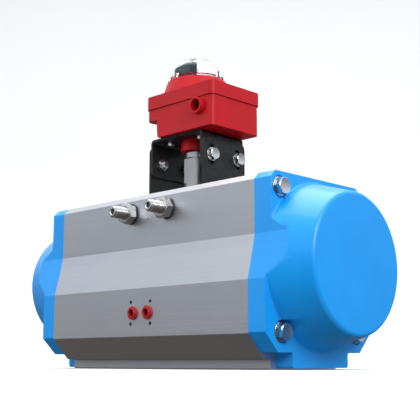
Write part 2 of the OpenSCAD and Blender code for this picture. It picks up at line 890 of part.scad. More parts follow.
module switch_carrier() {
    color("gainsboro") difference() {
        translate([-17, -25, carrier_z]) cube([44, 57, 2]);
        translate([0, 0, carrier_z - 1]) cylinder(r = 16, h = 4);
        sensor_screw_places() translate([0, 0, carrier_z - 1]) cylinder(r = 1.5 + seat, h = 4);
    }
    color("gainsboro") for (x = [-12, 22], s = [-1, 1])
        translate([x, s * 22, base_z + floor_t])
            cylinder(r = 3, h = carrier_z - base_z - floor_t + eps);
}

module sensor_screw_places() {
    for (s = [-1, 1]) translate([s * 10, 26, 0]) children();
}

module sensor(z) {
    color("black") difference() {
        union() {
            translate([-14, 20.5, z]) cube([28, 11, sensor_h]);
            along_y(0, 18.2, z + sensor_h / 2, 2.6, 3);
        }
        sensor_screw_places() translate([0, 0, z - 1]) cylinder(r = 1.6, h = sensor_h + 2);
    }
}

module sensor_shut() { sensor(carrier_z + 2); }
module sensor_open() { sensor(carrier_z + 2 + sensor_h); }

module sensor_screws() {
    color("silver") sensor_screw_places() translate([0, 0, carrier_z + 2 + 2 * sensor_h])
        socket_screw(1.5, 2.7, 2.5, 2, 2 * sensor_h + 2);
}

module terminal_strip() {
    color("ivory") difference() {
        translate([34, -26, base_z + floor_t]) cube([16, 52, 17]);
        for (y = [-21:7:21]) translate([38, y, base_z + 14]) cylinder(r = 2.4, h = 10);
        for (y = [-21:7:21]) along_x(45, y, base_z + 15, 1.8, 8);
    }
}

module terminal_screws() {
    color("silver") for (y = [-21:7:21]) translate([38, y, base_z + 14])
        cylinder(r = 2.2, h = 4);
}

// ---------- position indicator ----------

// clear dome in radius and height: upright side, rounded shoulder, blunt cone
function dome_shell(inset) =
    let (side = dome_r - inset, top = dome_h - inset, shoulder = 19 - 0.6 * inset,
         blunt = 9 - inset)
    concat([[0, 0], [side, 0]],
        corner_arc([side, 0], [side, shoulder], [blunt, top], 8 - inset, 5),
        corner_arc([side, shoulder], [blunt, top], [0, top], 7 - inset, 5), [[0, top]]);

module dome_screw_places() {
    for (a = [0:90:270]) rotate([0, 0, a]) translate([dome_screw_r, 0, 0]) children();
}

module indicator_dome() {
    color([0.9, 0.95, 1, 0.4]) translate([0, 0, dome_z]) difference() {
        union() {
            rotate_extrude() polygon(dome_shell(0));
            cylinder(r = rim_r, h = rim_t);
        }
        translate([0, 0, -0.5]) rotate_extrude() polygon(dome_shell(dome_wall));
        dome_screw_places() translate([0, 0, -1]) cylinder(r = 1.4, h = rim_t + 2);
    }
}

module dome_seal() {
    color("black") translate([0, 0, dome_z - seal_depth]) washer(28.65, 30.55, seal_depth);
}

module dome_screws() {
    color("silver") dome_screw_places() translate([0, 0, dome_z + rim_t])
        socket_screw(1.25, 2.2, 2.2, 2, rim_t + 4);
}

// outline that both the drum and the flags follow: upright side, then a cone
module drum_shape(grow) {
    rotate_extrude() polygon([[0, 0], [drum_r + grow, 0], [drum_r + grow, 14],
        [drum_top_r + grow, 27], [0, 27]]);
}

module beacon_drum() {
    color("white") translate([0, 0, drum_z]) difference() {
        drum_shape(0);
        translate([0, 0, -1]) cylinder(r = shaft_r + seat, h = 21.1);
    }
}

module beacon_flags() {
    color("darkslategray") translate([0, 0, drum_z]) intersection() {
        difference() {
            drum_shape(1.6);
            drum_shape(seat);
        }
        for (a = [0, 180]) rotate([0, 0, a]) translate([0, 0, 1]) linear_extrude(25)
            polygon([[0, 0], [-40, -40], [40, -40]]);
    }
}

// ---------- which node to draw ----------

body();
end_cap_right();
end_cap_left();
cap_seals();
cap_screws_right();
cap_screws_left();
cap_washers();
piston_right();
piston_left();
piston_seal_right();
piston_seal_left();
piston_band_right();
piston_band_left();
piston_pad_right();
piston_pad_left();
pinion();
pinion_seals();
lower_bush();
upper_bush();
thrust_washer();
steel_washer();
circlip();
stop_cam();
stop_screw_right();
stop_screw_left();
stop_nuts();
stop_seal_washers();
port_plugs();
bracket_top();
bracket_foot_right();
bracket_foot_left();
bracket_bolts();
bracket_nuts();
bracket_base_screws();
box_base();
box_hub();
conduit_collar();
box_gasket();
box_lid();
lid_screws();
box_mount_screws();
shaft_bush();
switch_shaft();
shaft_circlip();
switch_cam_upper();
switch_cam_lower();
switch_carrier();
sensor_open();
sensor_shut();
sensor_screws();
terminal_strip();
terminal_screws();
indicator_dome();
dome_seal();
dome_screws();
beacon_drum();
beacon_flags();
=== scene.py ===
import json
import math

import bmesh
import bpy
from mathutils import Matrix, Vector


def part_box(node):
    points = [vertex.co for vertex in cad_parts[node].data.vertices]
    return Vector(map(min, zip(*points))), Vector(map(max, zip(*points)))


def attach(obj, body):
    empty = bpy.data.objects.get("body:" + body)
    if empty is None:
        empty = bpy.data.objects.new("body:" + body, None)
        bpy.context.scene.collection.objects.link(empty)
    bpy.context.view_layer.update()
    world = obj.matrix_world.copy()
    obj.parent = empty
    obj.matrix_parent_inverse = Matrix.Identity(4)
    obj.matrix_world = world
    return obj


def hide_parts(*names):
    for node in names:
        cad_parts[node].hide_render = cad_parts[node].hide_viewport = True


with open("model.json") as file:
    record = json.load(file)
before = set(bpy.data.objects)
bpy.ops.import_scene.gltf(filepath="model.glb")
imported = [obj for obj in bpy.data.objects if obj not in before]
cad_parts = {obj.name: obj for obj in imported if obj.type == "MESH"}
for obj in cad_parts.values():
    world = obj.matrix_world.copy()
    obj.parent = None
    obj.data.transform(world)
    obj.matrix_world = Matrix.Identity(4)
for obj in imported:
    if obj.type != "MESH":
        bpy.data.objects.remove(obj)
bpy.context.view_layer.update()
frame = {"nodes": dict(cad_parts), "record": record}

# The CAD nodes stay where the frame puts them and get rounded edges and materials. The
# outer screws, nuts, washers and plugs and the bent sheets are made again in full detail.
MM = 0.001
TIP = 0.1 * MM           # radius at which a lofted end closes
NODES = frame["nodes"]
SLOT_OF = {s["node"]: s["material_slot"] for s in frame["record"]["subparts"]}


# ---------- node material helpers ----------

def add(tree, kind, **values):
    """New node, with each value set on its property or else its input of that name."""
    node = tree.nodes.new(kind)
    for key, value in values.items():
        if hasattr(node, key):
            setattr(node, key, value)
        else:
            node.inputs[key.replace("_", " ")].default_value = value
    return node


def noise(tree, place, frequency, detail=3.0, stretch=(1, 1, 1)):
    """Noise with so many cells a metre, drawn out along the axes whose stretch is small."""
    mapping = add(tree, "ShaderNodeMapping", Scale=[frequency * s for s in stretch])
    tree.links.new(place, mapping.inputs["Vector"])
    texture = add(tree, "ShaderNodeTexNoise", Scale=1.0, Detail=detail, Roughness=0.6)
    tree.links.new(mapping.outputs["Vector"], texture.inputs["Vector"])
    return texture.outputs["Fac"]


def remap(tree, value, low, high, start=0.3, end=0.7):
    """Takes a value from the range start to end over to low to high, and no further."""
    node = add(tree, "ShaderNodeMapRange", clamp=True)
    limits = {"From Min": start, "From Max": end, "To Min": low, "To Max": high}
    for socket, number in limits.items():
        node.inputs[socket].default_value = number
    tree.links.new(value, node.inputs["Value"])
    return node.outputs["Result"]


def mix(tree, factor, a, b):
    """Mix of two colours, each three numbers or the output of a node."""
    node = add(tree, "ShaderNodeMix", data_type="RGBA")
    tree.links.new(factor, node.inputs["Factor"])
    first, second, result = node.inputs[6], node.inputs[7], node.outputs[2]
    for socket, colour in ((first, a), (second, b)):
        if hasattr(colour, "is_linked"):
            tree.links.new(colour, socket)
        else:
            socket.default_value = (*colour, 1.0)
    return result


def finish_of(name, colour, shade, rough, metallic=0.0, cloud=25.0, grain=900.0,
              grain_stretch=(1, 1, 1), bump=0.00004, worn=None, coat=0.0, fine=None,
              specular=0.5):
    """A finish: clouded colour, grained roughness and bump, and worn edges where it has them."""
    material = bpy.data.materials.new(name)
    material.use_nodes = True
    tree = material.node_tree
    shader = tree.nodes["Principled BSDF"]
    shader.inputs["Metallic"].default_value = metallic
    shader.inputs["Specular IOR Level"].default_value = specular
    shader.inputs["Coat Weight"].default_value = coat
    shader.inputs["Coat Roughness"].default_value = 0.12
    place = add(tree, "ShaderNodeTexCoord").outputs["Object"]
    clouds = noise(tree, place, cloud, detail=4.0)
    grains = noise(tree, place, grain, stretch=grain_stretch)
    tone = mix(tree, remap(tree, clouds, 0.0, 1.0), colour, shade)
    if fine:
        tone = mix(tree, remap(tree, grains, 0.0, 1.0, 0.35, 0.75), tone, fine)
    roughness = remap(tree, grains, *rough)
    if worn:
        edges = add(tree, "ShaderNodeNewGeometry").outputs["Pointiness"]
        mottle = noise(tree, place, frequency=180.0, detail=4.0)
        edge = add(tree, "ShaderNodeMath", operation="MULTIPLY")
        tree.links.new(remap(tree, edges, 0.0, 1.0, 0.52, 0.6), edge.inputs[0])
        tree.links.new(remap(tree, mottle, 0.0, 0.7, 0.4, 0.65), edge.inputs[1])
        tone = mix(tree, edge.outputs[0], tone, worn)
    tree.links.new(tone, shader.inputs["Base Color"])
    tree.links.new(roughness, shader.inputs["Roughness"])
    relief = add(tree, "ShaderNodeBump", Strength=1.0, Distance=bump)
    tree.links.new(grains, relief.inputs["Height"])
    tree.links.new(relief.outputs["Normal"], shader.inputs["Normal"])
    return material


def clear_plastic(name):
    """A clear finish that bends light little, as a thin moulded shell does."""
    material = finish_of(name, (0.97, 0.98, 0.99), (0.94, 0.96, 0.98), rough=(0.04, 0.10),
                         bump=0.00001)
    shader = material.node_tree.nodes["Principled BSDF"]
    shader.inputs["Transmission Weight"].default_value = 1.0
    shader.inputs["IOR"].default_value = 1.06
    shader.inputs["Coat Weight"].default_value = 0.05
    shader.inputs["Coat Roughness"].default_value = 0.03
    return material


FINISHES = {
    "anodised_body": finish_of("anodised_extrusion", (0.60, 0.61, 0.64), (0.55, 0.56, 0.60),
                               rough=(0.36, 0.46), metallic=0.9, cloud=9.0,
                               grain_stretch=(0.006, 1, 1), bump=0.000012,
                               fine=(0.63, 0.64, 0.67)),
    "cap_blue": finish_of("blue_epoxy_casting", (0.006, 0.33, 0.88), (0.005, 0.30, 0.82),
                          rough=(0.28, 0.40), cloud=14.0, grain=700.0, bump=0.00005,
                          coat=0.15, specular=0.35),
    "seal_rubber": finish_of("seal_rubber", (0.012, 0.012, 0.012), (0.02, 0.02, 0.02),
                             rough=(0.55, 0.75), bump=0.00003),
    "zinc_steel": finish_of("stainless_fasteners", (0.72, 0.71, 0.69), (0.60, 0.60, 0.60),
                            rough=(0.16, 0.34), metallic=1.0, cloud=120.0, grain=2500.0,
                            bump=0.00001),
    "cast_alloy": finish_of("piston_casting", (0.58, 0.58, 0.60), (0.50, 0.50, 0.52),
                            rough=(0.35, 0.55), metallic=0.95, cloud=40.0, bump=0.00005),
    "bearing_plastic": finish_of("acetal_bearing", (0.80, 0.77, 0.68), (0.74, 0.71, 0.62),
                                 rough=(0.35, 0.5), bump=0.00002),
    "plated_steel": finish_of("nickel_plated_steel", (0.66, 0.64, 0.63), (0.57, 0.55, 0.54),
                              rough=(0.30, 0.40), metallic=1.0, cloud=60.0, grain=1500.0,
                              grain_stretch=(0.15, 0.15, 1), bump=0.000004),
    "spring_steel": finish_of("phosphated_steel", (0.06, 0.06, 0.062), (0.09, 0.09, 0.09),
                              rough=(0.35, 0.5), metallic=0.8, cloud=90.0, grain=1800.0,
                              bump=0.00001),
    "plug_red": finish_of("red_plug_plastic", (0.42, 0.010, 0.018), (0.34, 0.008, 0.014),
                          rough=(0.3, 0.45), bump=0.00003),
    "black_steel": finish_of("black_powder_coat", (0.008, 0.008, 0.009), (0.013, 0.013, 0.014),
                             rough=(0.34, 0.52), cloud=60.0, grain=1500.0, bump=0.00007,
                             worn=(0.07, 0.07, 0.07), specular=0.3),
    "box_red": finish_of("red_powder_coat", (0.52, 0.006, 0.014), (0.46, 0.005, 0.011),
                         rough=(0.34, 0.50), cloud=30.0, grain=1100.0, bump=0.00006,
                         specular=0.22),
    "bronze": finish_of("sintered_bronze", (0.52, 0.33, 0.13), (0.44, 0.27, 0.1),
                        rough=(0.35, 0.5), metallic=0.95, bump=0.00003),
    "cam_red": finish_of("red_cam_plastic", (0.5, 0.03, 0.025), (0.42, 0.02, 0.02),
                         rough=(0.35, 0.5)),
    "cam_yellow": finish_of("yellow_cam_plastic", (0.8, 0.5, 0.02), (0.7, 0.42, 0.02),
                            rough=(0.35, 0.5)),
    "carrier_plate": finish_of("zinc_plated_plate", (0.62, 0.62, 0.58), (0.54, 0.55, 0.52),
                               rough=(0.22, 0.4), metallic=1.0, cloud=80.0, grain=1600.0,
                               grain_stretch=(0.1, 1, 1), bump=0.00001),
    "sensor_black": finish_of("sensor_housing", (0.018, 0.018, 0.02), (0.026, 0.026, 0.028),
                              rough=(0.4, 0.55)),
    "terminal_plastic": finish_of("terminal_polyamide", (0.72, 0.69, 0.58), (0.66, 0.63, 0.53),
                                  rough=(0.4, 0.55)),
    "clear_plastic": clear_plastic("clear_polycarbonate"),
    "drum_white": finish_of("drum_plastic", (0.86, 0.87, 0.87), (0.8, 0.81, 0.82),
                            rough=(0.35, 0.5)),
    "flag_slate": finish_of("flag_plastic", (0.05, 0.068, 0.08), (0.04, 0.054, 0.065),
                            rough=(0.5, 0.65), specular=0.12),
}


# ---------- mesh helpers ----------

def shade(piece, angle=32):
    """Smooth shading, but for edges sharper than so many degrees."""
    piece.data.shade_smooth()
    piece.data.set_sharp_from_angle(angle=math.radians(angle))


def new_piece(name, mesh, slot, body, *nodes):
    """Links a mesh as a piece that takes a finish, rides a body and stands for CAD nodes."""
    piece = bpy.data.objects.new(name, mesh)
    bpy.context.scene.collection.objects.link(piece)
    mesh.materials.clear()
    mesh.materials.append(FINISHES[slot])
    shade(piece)
    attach(piece, body)
    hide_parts(*nodes)
    return piece


def solids(node):
    """The box of each separate solid in a CAD node, in order of X, then Y, then Z."""
    work = bmesh.new()
    work.from_mesh(NODES[node].data)
    bmesh.ops.remove_doubles(work, verts=work.verts, dist=1e-6)
    boxes, seen = [], set()
    for start in work.verts:
        if start in seen:
            continue
        group, queue = [], [start]
        seen.add(start)
        while queue:
            vert = queue.pop()
            group.append(vert.co.copy())
            for edge in vert.link_edges:
                other = edge.other_vert(vert)
                if other not in seen:
                    seen.add(other)
                    queue.append(other)
        boxes.append((Vector(map(min, zip(*group))), Vector(map(max, zip(*group)))))
    work.free()
    return sorted(boxes, key=lambda b: tuple(round(c, 4) for c in b[0]))


def value_at(thing, angle):
    return thing(angle) if callable(thing) else thing


def loft(work, rings, place, sides=48, loop=False):
    """Rings of (radius, height) round the Z axis, each a number or a function of the angle."""
    rows = []
    for radius, height in rings:
        row = []
        for k in range(sides):
            turn = 2 * math.pi * k / sides
            r, z = value_at(radius, turn), value_at(height, turn)
            row.append(work.verts.new(place @ Vector((r * math.cos(turn), r * math.sin(turn), z))))
        rows.append(row)
    pairs = list(zip(rows, rows[1:])) + ([(rows[-1], rows[0])] if loop else [])
    for low, high in pairs:
        for k in range(sides):
            n = (k + 1) % sides
            work.faces.new((low[k], low[n], high[n], high[k]))
    if not loop:
        work.faces.new(list(reversed(rows[0])))
        work.faces.new(rows[-1])


CONE_ANGLE = math.radians(30)
RIM_SHARE = 0.97         # radius of a hexagon's turned top over half its size across flats
SEAT_SHARE = 0.92        # the same for the washer face under a screw's head
MOUTH_SHARE = 0.62       # radius of a hexagon socket's mouth over its size across flats


def hexagon(across):
    """Radius of a hexagon of that size across its flats, at an angle."""
    return lambda turn: across / 2 / math.cos((turn + math.pi / 6) % (math.pi / 3) - math.pi / 6)


def chamfered(across, height, start, sign=1):
    """Height of a hexagon's edge where a 30 degree cone has cut its corners off."""
    radius, slope = hexagon(across), math.tan(CONE_ANGLE)
    return lambda turn: height - sign * max(0.0, radius(turn) - start) * slope


def along(point, direction, spin=0.0):
    """Placement that puts the Z axis along a direction from a point."""
    turn = Vector(direction).to_track_quat("Z", "Y").to_matrix().to_4x4()
    return Matrix.Translation(point) @ turn @ Matrix.Rotation(spin, 4, "Z")


def thread(radius, depth, pitch, start, end, steps=8):
    """Rings of a V thread between two heights, running out into plain ends."""
    rings = []
    count = max(2, round((end - start) / pitch * steps))
    for i in range(count + 1):
        z = start + (end - start) * i / count
        fade = min(1.0, i / steps, (count - i) / steps)

        def crest(turn, z=z, fade=fade):
            phase = (z / pitch - turn / (2 * math.pi)) % 1.0
            return radius - depth * fade * (1 - abs(2 * phase - 1)) ** 0.8

        rings.append((crest, z))
    return rings


def to_mesh(name, work):
    """A mesh with its faces turned outwards, from a bmesh that ends here."""
    mesh = bpy.data.meshes.new(name)
    bmesh.ops.recalc_face_normals(work, faces=work.faces)
    work.to_mesh(mesh)
    work.free()
    return mesh


def hex_screw(work, place, radius, across, head, shank, pitch):
    """Hexagon screw: chamfered head, washer face, threaded shank with a pointed end."""
    rim = across / 2 * RIM_SHARE
    flat = across / 2 * SEAT_SHARE
    neck, point, plain = 0.5 * MM, 0.8 * MM, 2 * MM
    rings = [(TIP, -shank), (radius - point, -shank)]
    rings += thread(radius, pitch / 2, pitch, point - shank, -plain, steps=5)
    rings += [(radius, 0.0), (flat, 0.0), (flat, neck), (hexagon(across), neck),
              (hexagon(across), chamfered(across, head, rim)), (rim, head),
              (rim - MM, head - neck / 2), (TIP, head - neck / 2)]
    loft(work, rings, place)


def hex_nut(work, place, bore, across, height):
    """Hexagon nut, chamfered on both faces and at its bore."""
    rim = across / 2 * RIM_SHARE
    lip = 0.6 * MM
    loft(work, [(bore, lip), (bore + lip, 0.0), (rim, 0.0),
                (hexagon(across), chamfered(across, 0.0, rim, -1)),
                (hexagon(across), chamfered(across, height, rim)), (rim, height),
                (bore + lip, height), (bore, height - lip)], place, loop=True)


def socket_screw(work, place, radius, head_r, head, key, shank):
    """Socket-head screw with a knurled head and a plain shank."""
    ridges, depth = 24, 0.02 * head_r
    edge, floor, drill_tip = 0.14 * head, 0.45 * head, 0.15 * key

    def knurled(turn):
        return head_r - depth * (0.5 + 0.5 * math.cos(ridges * turn))

    loft(work, [(TIP, -shank), (radius * 0.8, -shank), (radius, -shank + radius * 0.2),
                (radius, 0), (head_r - edge / 2, 0), (knurled, edge / 2), (knurled, head - edge),
                (head_r - edge, head), (key * MOUTH_SHARE, head),
                (hexagon(key), head - 0.05 * key), (hexagon(key), floor),
                (TIP, floor - drill_tip)], place, sides=4 * ridges)


def ring_washer(work, place, inner, outer, thick):
    """Flat washer with its edges broken."""
    edge = min(0.3 * MM, thick / 4)
    loft(work, [(inner, edge), (inner + edge, 0), (outer - edge, 0), (outer, edge),
                (outer, thick - edge), (outer - edge, thick), (inner + edge, thick),
                (inner, thick - edge)], place, loop=True)


def smooth_by_angle_group(angle):
    """Geometry nodes that join split corners and shade smooth below an angle."""
    group = bpy.data.node_groups.new("smooth_below_angle", "GeometryNodeTree")
    group.interface.new_socket("Geometry", in_out="INPUT", socket_type="NodeSocketGeometry")
    group.interface.new_socket("Geometry", in_out="OUTPUT", socket_type="NodeSocketGeometry")
    start = group.nodes.new("NodeGroupInput")
    end = group.nodes.new("NodeGroupOutput")
    edge_angle = group.nodes.new("GeometryNodeInputMeshEdgeAngle")
    limit = group.nodes.new("FunctionNodeCompare")
    limit.operation = "LESS_THAN"
    limit.inputs[1].default_value = math.radians(angle)
    faces = group.nodes.new("GeometryNodeSetShadeSmooth")
    faces.domain = "FACE"
    edges = group.nodes.new("GeometryNodeSetShadeSmooth")
    edges.domain = "EDGE"
    link = group.links.new
    link(edge_angle.outputs["Unsigned Angle"], limit.inputs[0])
    link(start.outputs[0], faces.inputs["Geometry"])
    link(faces.outputs[0], edges.inputs["Geometry"])
    link(limit.outputs["Result"], edges.inputs["Shade Smooth"])
    link(edges.outputs[0], end.inputs[0])
    return group


SMOOTH = smooth_by_angle_group(30)


def soften(piece, width):
    """Joins the CAD facets, rounds the sharp edges and shades the rest smooth."""
    weld = piece.modifiers.new("join_corners", "WELD")
    weld.merge_threshold = 1e-6
    if width:
        flat = piece.modifiers.new("merge_flats", "DECIMATE")
        flat.decimate_type = "DISSOLVE"
        flat.angle_limit = math.radians(0.5)
        bevel = piece.modifiers.new("round_edges", "BEVEL")
        bevel.width = width
        bevel.segments = 2
        bevel.limit_method = "ANGLE"
        bevel.angle_limit = math.radians(38)
        bevel.use_clamp_overlap = True
        bevel.miter_outer = "MITER_ARC"
    smooth = piece.modifiers.new("smooth_by_angle", "NODES")
    smooth.node_group = SMOOTH
    flats = piece.modifiers.new("flat_faces_lead", "WEIGHTED_NORMAL")
    flats.mode = "FACE_AREA"
    flats.weight = 100
    flats.keep_sharp = True


# ---------- CAD nodes: edges and finishes ----------

# Width of the rounding on the edges, where 0 leaves a node's edges as the CAD has them.
PLAIN_EDGE_MM = 0.15
EDGE_MM = {"body": 0.4, "end_cap_right": 1.2, "end_cap_left": 1.2, "box_base": 1.0,
           "box_lid": 1.2, "piston_right": 0.4, "piston_left": 0.4, "indicator_dome": 0.5,
           "beacon_drum": 0.6, "beacon_flags": 0.3, "pinion": 0, "stop_cam": 0.5,
           "pinion_seals": 0, "piston_seal_right": 0, "piston_seal_left": 0}
for node, piece in NODES.items():
    piece.data.materials.clear()
    piece.data.materials.append(FINISHES[SLOT_OF[node]])
    soften(piece, EDGE_MM.get(node, PLAIN_EDGE_MM) * MM)


# ---------- fasteners ----------

STOP_R = 7.02 * MM       # radius of the travel stop screws


def middle(low, high, **fixed):
    """Middle of a box, with the named coordinates put elsewhere."""
    point = (low + high) / 2
    for axis, value in fixed.items():
        setattr(point, axis, value)
    return point


def fasteners(node, slot, make):
    """One piece that holds every screw, nut or washer of a CAD node, each turned its own way."""
    work = bmesh.new()
    for k, (low, high) in enumerate(solids(node)):
        make(work, low, high, math.radians(23 * k + 8))
    new_piece(node + "_detailed", to_mesh(node, work), slot, "housing", node)


def cap_screw(work, low, high, spin):
    side, head = math.copysign(1, low.x), 7 * MM
    outer = high.x if side > 0 else low.x
    place = along(middle(low, high, x=outer - side * head), (side, 0, 0), spin)
    hex_screw(work, place, radius=5 * MM, across=16 * MM, head=head, shank=44 * MM,
              pitch=1.5 * MM)


def washer_along_x(hole):
    def make(work, low, high, _):
        ring_washer(work, along(middle(low, high, x=low.x), (1, 0, 0)), hole,
                    (high.y - low.y) / 2, high.x - low.x)
    return make


def seal_washer(work, low, high, _):
    ring_washer(work, along(middle(low, high, y=low.y), (0, 1, 0)), STOP_R,
                (high.x - low.x) / 2, high.y - low.y)


def stop_screw(work, low, high, _):
    """Threaded all along, with a flat end inside and a hexagon socket outside."""
    length, key, depth, chamfer = high.y - low.y, 6 * MM, 8 * MM, 1.5 * MM
    face, root = STOP_R - 1.8 * MM, STOP_R - 0.3 * MM
    rings = [(TIP, 0), (face, 0), (root, chamfer)]
    rings += thread(STOP_R - 0.1 * MM, 1.1 * MM, 2 * MM, chamfer, length - chamfer)
    rings += [(root, length - chamfer), (face, length),
              (key * MOUTH_SHARE, length), (hexagon(key), length - 0.8 * MM),
              (hexagon(key), length - depth), (TIP, length - depth - chamfer)]
    loft(work, rings, along(middle(low, high, y=high.y), (0, -1, 0)))


def stop_nut(work, low, high, spin):
    hex_nut(work, along(middle(low, high, y=high.y), (0, -1, 0), spin), bore=STOP_R,
            across=22 * MM, height=high.y - low.y)


def bracket_bolt(work, low, high, spin):
    side, head, washer = math.copysign(1, low.x), 5.3 * MM, 1.6 * MM
    outer = high.x if side > 0 else low.x
    seat = outer - side * head
    hex_screw(work, along(middle(low, high, x=seat), (side, 0, 0), spin), radius=4 * MM,
              across=13 * MM, head=head, shank=18 * MM, pitch=1.25 * MM)
    ring_washer(work, along(middle(low, high, x=seat - side * washer), (side, 0, 0)),
                inner=4.2 * MM, outer=8 * MM, thick=washer)


def bracket_nut(work, low, high, spin):
    side = math.copysign(1, low.x)
    inner, outer = sorted((low.x, high.x), key=abs)
    hex_nut(work, along(middle(low, high, x=outer), (-side, 0, 0), spin), bore=4.02 * MM,
            across=13 * MM, height=abs(outer - inner))


def base_screw(work, low, high, spin):
    head, washer = 5 * MM, 1.2 * MM
    seat = high.z - head
    socket_screw(work, along(middle(low, high, z=seat), (0, 0, 1), spin), radius=2.5 * MM,
                 head_r=4.3 * MM, head=head, key=4 * MM, shank=seat - low.z)
    ring_washer(work, along(middle(low, high, z=seat - washer), (0, 0, 1)), inner=2.6 * MM,
                outer=5.5 * MM, thick=washer)


def upright_screw(radius, head_r, head, key, up=1):
    """Maker of socket screws, with sizes in millimetres, whose heads point up or down."""
    radius, head_r, head, key = (size * MM for size in (radius, head_r, head, key))

    def make(work, low, high, spin):
        seat = high.z - head if up > 0 else low.z + head
        far = low.z if up > 0 else high.z
        socket_screw(work, along(middle(low, high, z=seat), (0, 0, up), spin), radius, head_r,
                     head, key, abs(seat - far))
    return make


def transit_plug(work, low, high, _):
    """Moulded cup that closes an air port, with a collar and a hollow middle."""
    collar, stem, hollow = (high.x - low.x) / 2, 5.85 * MM, 4.2 * MM
    lip, thick, wall, floor = 0.5 * MM, 2.2 * MM, 1.4 * MM, 2 * MM
    top = thick + wall
    length = high.y - low.y - top
    rings = [(TIP, -length), (stem - lip, -length), (stem, lip - length), (stem, 0), (collar, 0),
             (collar, thick - lip), (collar - lip, thick), (hollow + wall, thick),
             (hollow + MM, top), (hollow, top), (hollow - lip / 2, top - lip),
             (hollow - lip, floor - length), (TIP, floor - length)]
    loft(work, rings, along(middle(low, high, y=low.y + top), (0, -1, 0)))


for side in ("right", "left"):
    fasteners("cap_screws_" + side, "zinc_steel", cap_screw)
    fasteners("stop_screw_" + side, "zinc_steel", stop_screw)
fasteners("cap_washers", "zinc_steel", washer_along_x(5.2 * MM))
fasteners("stop_nuts", "zinc_steel", stop_nut)
fasteners("stop_seal_washers", "seal_rubber", seal_washer)
fasteners("bracket_bolts", "zinc_steel", bracket_bolt)
fasteners("bracket_nuts", "zinc_steel", bracket_nut)
fasteners("bracket_base_screws", "zinc_steel", base_screw)
fasteners("box_mount_screws", "zinc_steel", upright_screw(2.5, 4.3, head=5, key=4, up=-1))
fasteners("lid_screws", "zinc_steel", upright_screw(2.5, 4.6, head=4.5, key=4))
fasteners("dome_screws", "zinc_steel", upright_screw(1.25, 2.2, head=2.2, key=2))
fasteners("port_plugs", "plug_red", transit_plug)


# ---------- bracket ----------

def bent_sides(points, thick, bend, steps=6):
    """Both sides of a sheet whose middle line runs along points (x, z) with rounded bends."""
    sides = [[], []]
    for i, point in enumerate(points):
        p = Vector(point)
        if i in (0, len(points) - 1):
            run = (Vector(points[1]) - p if i == 0 else p - Vector(points[-2])).normalized()
            across = Vector((-run.y, run.x)) * thick / 2
            sides[0].append(p + across)
            sides[1].append(p - across)
            continue
        before = (p - Vector(points[i - 1])).normalized()
        after = (Vector(points[i + 1]) - p).normalized()
        left = math.copysign(1, before.x * after.y - before.y * after.x)
        turn = before.angle(after) * left
        radius = bend + thick / 2
        centre = p - before * radius * math.tan(abs(turn) / 2)
        spoke = Vector((before.y, -before.x)) * left
        centre -= spoke * radius
        for k in range(steps + 1):
            angle = turn * k / steps
            ray = Vector((spoke.x * math.cos(angle) - spoke.y * math.sin(angle),
                          spoke.x * math.sin(angle) + spoke.y * math.cos(angle)))
            sides[0].append(centre + ray * (radius - left * thick / 2))
            sides[1].append(centre + ray * (radius + left * thick / 2))
    return sides


def round_bar(radius, length, place):
    """Round bar to cut a hole with."""
    work = bmesh.new()
    loft(work, [(radius, 0), (radius, length)], place, 32)
    return work


def slot_bar(length, width, height, place):
    """Bar with round ends, longest along its X axis, to cut a slotted hole with."""
    half, reach = width / 2, (length - width) / 2
    work = bmesh.new()

    def slotted(turn):
        x, y = abs(math.cos(turn)), abs(math.sin(turn))
        if y * reach >= x * half:
            return half / y
        return x * reach + math.sqrt(max(0.0, half ** 2 - (y * reach) ** 2))

    loft(work, [(slotted, 0), (slotted, height)], place, 64)
    return work


def cut(piece, cutters):
    """Takes meshes out of a piece and forgets them."""
    for work in cutters:
        cutter = bpy.data.objects.new("cutter", to_mesh("cutter", work))
        bpy.context.scene.collection.objects.link(cutter)
        boolean = piece.modifiers.new("cut", "BOOLEAN")
        boolean.operation = "DIFFERENCE"
        boolean.solver = "EXACT"
        boolean.object = cutter
        bpy.context.view_layer.update()
        evaluated = piece.evaluated_get(bpy.context.evaluated_depsgraph_get())
        mesh = bpy.data.meshes.new_from_object(evaluated)
        piece.modifiers.clear()
        piece.data = mesh
        bpy.data.objects.remove(cutter)


SHEET = 3 * MM           # thickness of the bracket's steel
BEND = 2.5 * MM          # inner radius of its bends


def bent_sheet(name, node, points, corner, cutters):
    """Sheet-metal part of the bracket: bent plate with rounded corners and holes."""
    low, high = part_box(node)
    sides = bent_sides(points, SHEET, BEND)
    work = bmesh.new()
    rows = [[[work.verts.new((p.x, y, p.y)) for p in side] for side in sides]
            for y in (low.y, high.y)]
    (front_a, front_b), (back_a, back_b) = rows
    last = len(front_a) - 1
    for i in range(last):
        work.faces.new((front_a[i], front_a[i + 1], front_b[i + 1], front_b[i]))
        work.faces.new((back_a[i], back_b[i], back_b[i + 1], back_a[i + 1]))
        work.faces.new((front_a[i], back_a[i], back_a[i + 1], front_a[i + 1]))
        work.faces.new((front_b[i], front_b[i + 1], back_b[i + 1], back_b[i]))
    corners = []
    for i in (0, last):
        work.faces.new((front_a[i], front_b[i], back_b[i], back_a[i]))
        corners.append(work.edges.get((front_a[i], front_b[i])))
        corners.append(work.edges.get((back_a[i], back_b[i])))
    bmesh.ops.bevel(work, geom=corners, offset=corner, segments=6, profile=0.5, affect="EDGES")
    piece = new_piece(name, to_mesh(name, work), "black_steel", "housing", node)
    cut(piece, cutters)
    soften(piece, 0.35 * MM)


